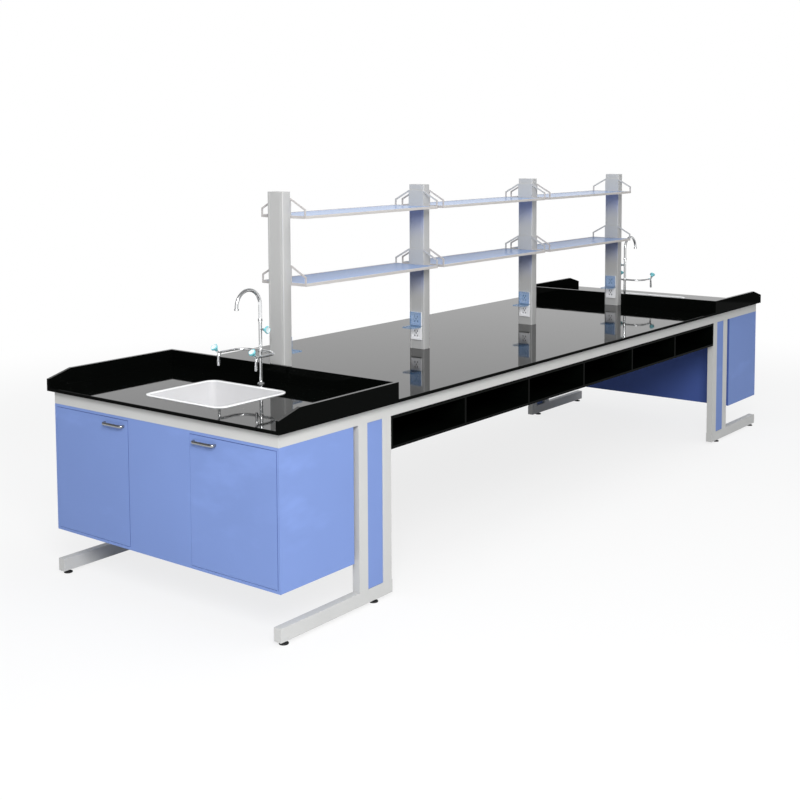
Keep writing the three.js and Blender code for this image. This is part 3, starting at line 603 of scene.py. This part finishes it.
BENT_TUBE = bent_tube_tree()
STACKED_RINGS = stacked_rings_tree()
HOLE_SHADES = hole_shade_tree()


def bent_tube(points, bends, radius, material, steps, sides=24):
    edges = [(i, i + 1) for i in range(len(points) - 1)]
    values = {"Radius": radius, "Sides": sides, "Steps": steps, "Finish": material}
    return grown(BENT_TUBE, points, edges, [0.0, *bends, 0.0], **values)


def take_in(bm, mesh, matrix=Matrix()):
    mesh.transform(matrix)
    bm.from_mesh(mesh)


# Flat-sided pieces: the solids with rounded edges
FLAT = [("centre_frame", GREY, "frame_paint", FRAME_ROUND)]
for end in ENDS:
    FLAT.append((f"end_frame_{end}", GREY, "frame_paint", FRAME_ROUND))
    for side in SIDES:
        FLAT.append((f"leg_panel_{end}_{side}", BLUE, "cabinet_board", PANEL_ROUND))
for side in SIDES:
    FLAT.append((f"compartments_{side}", BOARD, "compartment_board", BOARD_ROUND))
for number in range(1, len(POSTS) + 1):
    for level in SOCKET_LEVELS:
        FLAT.append((f"socket_cover_{number}_{level}", COVER, "cover", COVER_ROUND))
for node, material, slot, edge in FLAT:
    stand_for(finished(node + "_piece", soft_edged(node, edge), [material], SHARP_FLAT), node)


# Pieces in two finishes, chosen by the way that a face looks
def two_tone(node, edge, materials, is_first):
    bm = soft_edged(node, edge)
    bm.normal_update()
    for face in bm.faces:
        face.material_index = 0 if is_first(face.normal) else 1
    stand_for(finished(node + "_piece", bm, materials, SHARP_FLAT), node)


# Worktops: polished on top and dull on their edges and splash walls
for name in ("near", "centre", "far"):
    two_tone(
        f"worktop_{name}", WORKTOP_ROUND, [SLAB, SLAB_EDGE],
        lambda normal: normal.z > ROUGHLY_ON)

# Cabinets: a deeper blue painted as shade on the back board under the worktop, and on the doors'
# rounded edges for the shade in the gaps round them
for end in ENDS:
    inward = -OUTWARD[end]
    two_tone(
        f"cabinet_{end}", CABINET_ROUND, [BLUE, PAINTED_SHADE_BLUE],
        lambda normal: normal.x * inward < ROUGHLY_ON)
    for side in SIDES:
        two_tone(
            f"cabinet_door_{end}_{side}", DOOR_ROUND, [BLUE, PAINTED_SHADE_BLUE],
            lambda normal: abs(normal.x) > SQUARE_ON)


# Posts, with white socket housings
def post(number):
    node = f"post_{number}"
    bm = soft_edged(node, POST_ROUND)
    x = POSTS[number - 1]
    for face in bm.faces:
        centre = face.calc_center_median()
        past_face = abs(centre.x - x) - POST_DEPTH / 2
        if past_face > SOCKET_SKIN and centre.z < SOCKETS_TOP:
            face.material_index = 1
        elif abs(centre.y) > POST_WIDTH / 2 + SKIN:
            face.material_index = 2
    materials = [POST_GREY, SOCKET_WHITE, BRACKET_GREY]
    stand_for(finished(node + "_piece", bm, materials, SHARP_FLAT), node)


def socket_hole_shades(number):
    """Painted shade in the holes on both sockets of a post: a two-pin row above a three-pin set."""
    facing = 1 if number == 1 else -1  # the sockets on the first post look along the bench
    x = POSTS[number - 1] + facing * (POST_DEPTH / 2 + HOLE_SHADE_LIFT)
    points = []
    for low in SOCKET_LEVELS.values():
        middle = low + SOCKET_SIZE / 2
        points += [(x, y, middle + rise) for y, rise in HOLE_SHADE_PLACES]
    mesh = grown(HOLE_SHADES, points, Finish=HOLE_SHADE, **HOLE_SHADE_SIZE)
    piece = placed(f"socket_hole_shades_{number}", mesh, [HOLE_SHADE])
    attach(piece, "bench")


for number in range(1, len(POSTS) + 1):
    post(number)
    socket_hole_shades(number)


# Shelves: a tinted pane between two painted edge rails
def shelf(node):
    low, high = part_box(node)
    pane_low = (low[0], low[1] + PANE_INSET, low[2] + PANE_LEVELS[0])
    pane_high = (high[0], high[1] - PANE_INSET, low[2] + PANE_LEVELS[1])
    bm = bmesh.new()
    for material, lows, highs in (
        (1, pane_low, pane_high),
        (0, low, (high[0], low[1] + RAIL_THICKNESS, high[2])),
        (0, (low[0], high[1] - RAIL_THICKNESS, low[2]), high),
    ):
        middle = [(a + b) / 2 for a, b in zip(lows, highs)]
        size = [b - a for a, b in zip(lows, highs)]
        box = Matrix.Translation(middle) @ Matrix.Diagonal((*size, 1))
        made = bmesh.ops.create_cube(bm, matrix=box)
        faces = {face for vert in made["verts"] for face in vert.link_faces}
        for face in faces:
            face.material_index = material
        edges = list({edge for face in faces for edge in face.edges})
        bmesh.ops.bevel(bm, geom=edges, offset=RAIL_ROUND, **ROUNDING)
    stand_for(finished(node + "_piece", bm, [RAIL_GREY, GLASS], SHARP_FLAT), node)


for level in ("lower", "upper"):
    for bay in range(1, 4):
        shelf(f"shelf_{level}_{bay}")


def at_end(end, x, z=0.0):
    """Takes a piece drawn for the near end, with the sink towards -X, to its place."""
    turn = Matrix.Rotation(math.pi if end == "far" else 0.0, 4, "Z")
    return Matrix.Translation((x, 0, z)) @ turn


# Sink: one skin from the waste outlet, up the outside, over the rim and down into the bowl
def sink(end):
    depth, width = SINK_RIM

    def ring(radius, z):
        return rounded_loop(2 * radius, 2 * radius, radius, z)

    def rect(inset, corner, z):
        return rounded_loop(depth - 2 * inset, width - 2 * inset, corner, z)

    outside = [
        ring(0.022, BOWL_BOTTOM - 0.060),
        ring(0.027, BOWL_BOTTOM - 0.060),
        ring(0.027, BOWL_BOTTOM - 0.004),
        ring(0.031, BOWL_BOTTOM),
        rect(0.052, 0.020, BOWL_BOTTOM),
        rect(0.034, 0.026, BOWL_BOTTOM + 0.004),
        rect(0.023, 0.034, BOWL_BOTTOM + 0.020),
        rect(0.017, 0.040, BOWL_BOTTOM + 0.060),
        rect(0.017, 0.040, TOP),
    ]
    rim = [
        rect(0.0, 0.057, TOP),
        rect(0.0, 0.057, TOP + 0.002),
        rect(0.0007, 0.0563, TOP + 0.0033),
        rect(0.002, 0.055, TOP + 0.004),
        rect(0.018, 0.039, TOP + 0.004),
        rect(0.0208, 0.0362, TOP + 0.0029),
        rect(0.022, 0.035, TOP - 0.001),
    ]
    bowl = [
        rect(0.0235, 0.0345, BOWL_BOTTOM + 0.050),
        rect(0.027, 0.032, BOWL_BOTTOM + 0.026),
        rect(0.038, 0.030, BOWL_BOTTOM + 0.013),
        rect(0.060, 0.028, BOWL_BOTTOM + 0.0095),
        ring(0.046, BOWL_BOTTOM + 0.009),
        ring(0.042, BOWL_BOTTOM + 0.0075),
        ring(0.040, BOWL_BOTTOM + 0.0052),
        ring(0.024, BOWL_BOTTOM + 0.005),
        ring(0.022, BOWL_BOTTOM + 0.004),
    ]
    bm = bmesh.new()
    loft(bm, [*outside, *rim, *bowl, outside[0]], close_start=False, close_end=False)
    bm.transform(at_end(end, OUTWARD[end] * SINK_MIDDLE))
    stand_for(finished(f"sink_{end}_piece", bm, [BASIN], SHARP_MOULDED), f"sink_{end}")


# Tap, drawn about its axis with the worktop's surface at zero; profiles are radius and height
SHANK_PROFILE = [
    (0.010, -0.056), (0.010, -0.024), (0.017, -0.024), (0.017, -0.016), (0.010, -0.016), (0.010, 0.0)]
FLANGE_PROFILE = [
    (0.017, 0.0), (0.017, 0.0022), (0.0162, 0.0034), (0.0108, 0.0080), (0.0092, 0.0105),
    (0.0085, 0.0150)]
COLUMN_PROFILE = [
    (0.0085, 0.1490), (0.0098, 0.1500), (0.0105, 0.1520), (0.0105, 0.1680), (0.0098, 0.1700),
    (0.0085, 0.1710), (0.0085, 0.2975), (0.0079, 0.2995)]
MAIN_BONNET_PROFILE = [(0.006, 0.0), (0.006, 0.0245), (0.0055, 0.0255)]
SIDE_BONNET_PROFILE = [(0.0056, -0.0105), (0.006, -0.009), (0.006, 0.0165), (0.0055, 0.017)]
COLLAR_PROFILE = [(0.0100, 0.0), (0.0110, 0.001), (0.0110, 0.0125), (0.0104, 0.014), (0.0089, 0.0146)]
AERATOR_PROFILE = [
    (0.0070, 0.006), (0.0070, 0.0), (0.0110, 0.0), (0.0115, 0.001), (0.0112, 0.007), (0.0102, 0.009),
    (0.0088, 0.0095)]
BARBS = {"Count": 3, "Pitch": 0.008, "Neck": 0.0061, "Edge": 0.0075}
SIDEWAYS = Matrix.Rotation(math.pi / 2, 4, "X")
LEANING = Matrix.Rotation(-KNOB_LEAN, 4, "Y")


def tap_body(end):
    bm = bmesh.new()
    lathe(bm, SHANK_PROFILE + FLANGE_PROFILE + COLUMN_PROFILE)
    valve = Matrix.Translation((0, 0, MAIN_VALVE))
    lathe(bm, MAIN_BONNET_PROFILE, BONNET_FACETS, valve @ SIDEWAYS)
    arm = [
        (-ARM_FORWARD, ARM_REACH, NOZZLE_TOP),
        (-ARM_FORWARD, ARM_REACH, ARM_HEIGHT),
        (0, ARM_REACH, ARM_HEIGHT),
    ]
    arms = arm + [(x, -y, z) for x, y, z in reversed(arm)]
    bends = [ARM_TURN, ARM_SWEEP, ARM_SWEEP, ARM_TURN]
    take_in(bm, bent_tube(arms, bends, ARM_RADIUS, CHROME, steps=14))
    for side in (-1, 1):
        y = side * ARM_REACH
        rings = grown(STACKED_RINGS, [(0, 0, 0)], Finish=CHROME, **BARBS)
        take_in(bm, rings, Matrix.Translation((-ARM_FORWARD, y, BARBS_START)))
        corner = Matrix.Translation((-ARM_FORWARD, y, ARM_HEIGHT))
        lathe(bm, SIDE_BONNET_PROFILE, BONNET_FACETS, corner @ LEANING)
    bm.transform(at_end(end, TAP_AXIS[end], TOP))
    node = f"tap_body_{end}"
    stand_for(finished(node + "_piece", bm, [CHROME]), node)


def spout(end):
    bm = bmesh.new()
    radius = SPOUT_REACH / 2
    crown = SPOUT_RISE + radius
    route = [
        (0, 0, SPOUT_FOOT),
        (0, 0, crown),
        (-SPOUT_REACH, 0, crown),
        (-SPOUT_REACH, 0, SPOUT_MOUTH + MOUTH_LAP),
    ]
    take_in(bm, bent_tube(route, [radius, radius], SPOUT_RADIUS, CHROME, steps=24, sides=28))
    lathe(bm, COLLAR_PROFILE, SPOUT_FACETS)
    mouth = Matrix.Translation((-SPOUT_REACH, 0, SPOUT_MOUTH))
    lathe(bm, AERATOR_PROFILE, SPOUT_FACETS, mouth)
    bm.transform(at_end(end, TAP_AXIS[end], TOP + SWIVEL))
    stand_for(finished(f"spout_{end}_piece", bm, [CHROME]), f"spout_{end}")


# Knob with four soft lobes and a paler cap, on its own axis: share of the radius, and height
KNOB_PROFILE = [
    (0.42, 0.0), (0.43, 0.003), (0.50, 0.008), (0.68, 0.0125), (0.88, 0.0150), (0.965, 0.0168),
    (1.0, 0.0190), (1.0, 0.0212), (0.97, 0.0232), (0.92, 0.0244), (0.84, KNOB_FACE)]
LOBES_START = 0.45
LOBES_FULL = 0.85


def knob(name, matrix):
    bm = bmesh.new()
    loops = []
    for scale, height in KNOB_PROFILE:
        lobing = max(0.0, min(1.0, (scale - LOBES_START) / (LOBES_FULL - LOBES_START)))
        loop = []
        for i in range(KNOB_FACETS):
            turn = 2 * math.pi * i / KNOB_FACETS
            dip = LOBE_DEPTH / 2 * (1 - math.cos(KNOB_LOBES * turn))
            radius = scale * (KNOB_RADIUS - lobing * dip)
            loop.append((radius * math.cos(turn), radius * math.sin(turn), height))
        loops.append(loop)
    edge = circle(CAP_RADIUS, KNOB_FACE, KNOB_FACETS)
    sunk = circle(CAP_RADIUS - CAP_BEVEL, KNOB_FACE - CAP_SINK, KNOB_FACETS)
    loft(bm, [*loops, edge], close_end=False)
    loft(bm, [edge, sunk], close_start=False, material=1)
    bm.transform(matrix)
    node = f"tap_knob_{name}"
    stand_for(finished(node + "_piece", bm, [TEAL, CAP], SHARP_MOULDED), node)


def tap_knobs(end):
    base = at_end(end, TAP_AXIS[end], TOP)
    valve = Matrix.Translation((0, -MAIN_KNOB_OUT, MAIN_VALVE))
    knob(f"{end}_main", base @ valve @ SIDEWAYS)
    x = -ARM_FORWARD - KNOB_OUT * math.sin(KNOB_LEAN)
    z = ARM_HEIGHT + KNOB_OUT * math.cos(KNOB_LEAN)
    for side in (-1, 1):
        name = SIDES[0] if (side < 0) == (end == "near") else SIDES[1]
        knob(f"{end}_{name}", base @ Matrix.Translation((x, side * ARM_REACH, z)) @ LEANING)


# Bow handle on a cabinet door
def handle(end, side):
    node = f"door_handle_{end}_{side}"
    low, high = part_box(node)
    face = OUTWARD[end] * FACE
    bar = OUTWARD[end] * (FACE + HANDLE_REACH)
    start = low[1] + HANDLE_RADIUS
    stop = high[1] - HANDLE_RADIUS
    route = [(face, start, 0), (bar, start, 0), (bar, stop, 0), (face, stop, 0)]
    bm = bmesh.new()
    corners = [HANDLE_CORNER, HANDLE_CORNER]
    take_in(bm, bent_tube(route, corners, HANDLE_RADIUS, HANDLE_METAL, steps=8))
    height = Matrix.Translation((0, 0, (low[2] + high[2]) / 2))
    bm.transform(height @ Matrix.Diagonal((1, 1, HANDLE_STRETCH, 1)))
    stand_for(finished(node + "_piece", bm, [HANDLE_METAL]), node)


# Levelling foot: rubber pad, lock nut and stem
PAD_PROFILE = [
    (0.0195, 0.0), (0.0207, 0.0006), (0.0210, 0.0016), (0.0210, 0.0042), (0.0204, 0.0052),
    (0.0140, 0.0072), (0.0098, 0.0086)]
STEM_PROFILE = [
    (0.0090, 0.0096), (0.0090, 0.0162), (0.0084, 0.0170), (0.0060, 0.0170), (0.0060, 0.0450)]


def foot(node):
    low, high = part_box(node)
    bm = bmesh.new()
    lathe(bm, PAD_PROFILE + STEM_PROFILE)
    x = (low[0] + high[0]) / 2
    y = (low[1] + high[1]) / 2
    bm.transform(Matrix.Translation((x, y, 0)))
    stand_for(finished(node + "_piece", bm, [PAD]), node)


for end in ENDS:
    sink(end)
    tap_body(end)
    spout(end)
    tap_knobs(end)
    for side in SIDES:
        handle(end, side)
        for place in ("outer", "inner"):
            foot(f"levelling_foot_{end}_{side}_{place}")


# Stage: pale floor, soft light, and the camera of the photograph
def floor():
    """A pale disc that keeps the shadow near the bench and fades to plain white at its edge."""
    bm = bmesh.new()
    bmesh.ops.create_circle(bm, cap_ends=True, segments=FLOOR_FACETS, radius=FLOOR_RADIUS)
    finish = Finish("floor_white")
    place = finish.add("TexCoord", output="Object")
    far = finish.add("VectorMath", {"operation": "LENGTH"}, {0: place}, output="Value")
    fade = finish.add("MapRange", {"interpolation_type": "SMOOTHSTEP"}, {
        "Value": far, "From Min": FLOOR_FADE[0], "From Max": FLOOR_FADE[1],
        "To Min": FLOOR_GLOW, "To Max": 1.0})
    lit = finish.add("BsdfDiffuse", inputs={"Color": (0.80, 0.80, 0.80, 1)})
    glow = finish.add("Emission", inputs={"Color": (1, 1, 1, 1), "Strength": 1.0})
    seen = finish.add("MixShader", inputs={0: fade, 1: lit, 2: glow})
    bounce = finish.add("BsdfDiffuse", inputs={"Color": (0.62, 0.62, 0.62, 1)})
    camera_ray, glossy_ray, glass_ray = finish.rays()
    looking = camera_ray.larger(glossy_ray).larger(glass_ray)
    finish.add_output(finish.add("MixShader", inputs={0: looking, 1: bounce, 2: seen}))
    finished("floor", bm, [finish.owner])


def sky():
    """White behind the bench and behind the camera, darker to the sides, as in a studio."""
    world = bpy.data.worlds.new("studio")
    bpy.context.scene.world = world
    finish = Finish("studio", world)
    camera_ray, glossy_ray, glass_ray = finish.rays()
    view = finish.add("TexCoord", output="Generated")
    dot = {"operation": "DOT_PRODUCT"}
    towards = finish.add("VectorMath", dot, {0: view, 1: VIEW_DIRECTION}, output="Value")
    side = finish.add("MapRange", {"interpolation_type": "SMOOTHSTEP"}, {
        "Value": abs(towards), "From Min": SKY_FADE[0], "From Max": SKY_FADE[1],
        "To Min": SKY_DARK, "To Max": 1.0})
    fill = finish.add("Background", inputs={"Color": (0.96, 0.98, 1.0, 1), "Strength": SKY_FILL})
    mirror = finish.add("Background", inputs={"Color": (1, 1, 1, 1), "Strength": side})
    white = finish.add("Background", inputs={"Color": (1, 1, 1, 1), "Strength": 1.0})
    unseen = finish.add("MixShader", inputs={0: glossy_ray, 1: fill, 2: mirror})
    looking = camera_ray.larger(glass_ray)
    mixed = finish.add("MixShader", inputs={0: looking, 1: unseen, 2: white})
    node = finish.tree.nodes.new("ShaderNodeOutputWorld")
    finish.tree.links.new(mixed.socket, node.inputs["Surface"])


def lamp(name, place, target, size, power, in_mirrors=False):
    data = bpy.data.lights.new(name, "AREA")
    data.shape = "DISK"
    data.size = size
    data.energy = power
    obj = bpy.data.objects.new(name, data)
    obj.location = place
    obj.visible_glossy = in_mirrors
    obj.rotation_euler = (Vector(target) - Vector(place)).to_track_quat("-Z", "Y").to_euler()
    bpy.context.scene.collection.objects.link(obj)


def camera():
    data = bpy.data.cameras.new("camera")
    data.sensor_width = 36
    data.lens = 56.035
    data.shift_y = -0.1994
    data.clip_end = 200
    right = Vector((0.61269539, -0.79030501, -0.00472725))
    up = Vector((0.06693959, 0.04593407, 0.99669913))
    forward = Vector((0.78747917, 0.6109894, -0.08104629))
    obj = bpy.data.objects.new("camera", data)
    turn = Matrix((right, up, -forward)).transposed().to_4x4()
    place = Matrix.Translation((-6.06385, -4.13130, 2.06325))
    obj.matrix_world = place @ turn
    bpy.context.scene.collection.objects.link(obj)
    bpy.context.scene.camera = obj


floor()
sky()
lamp("key", (-6.0, -4.5, 4.2), (-2.2, -0.3, 0.6), size=3.0, power=430, in_mirrors=True)
lamp("top", (-0.5, -1.5, 6.0), (0, 0, 0.9), size=5.0, power=135)
lamp("side", (3.4, -4.5, 2.6), (2.2, -0.75, 0.5), size=1.5, power=14)
camera()
bpy.context.scene.view_settings.view_transform = "Standard"
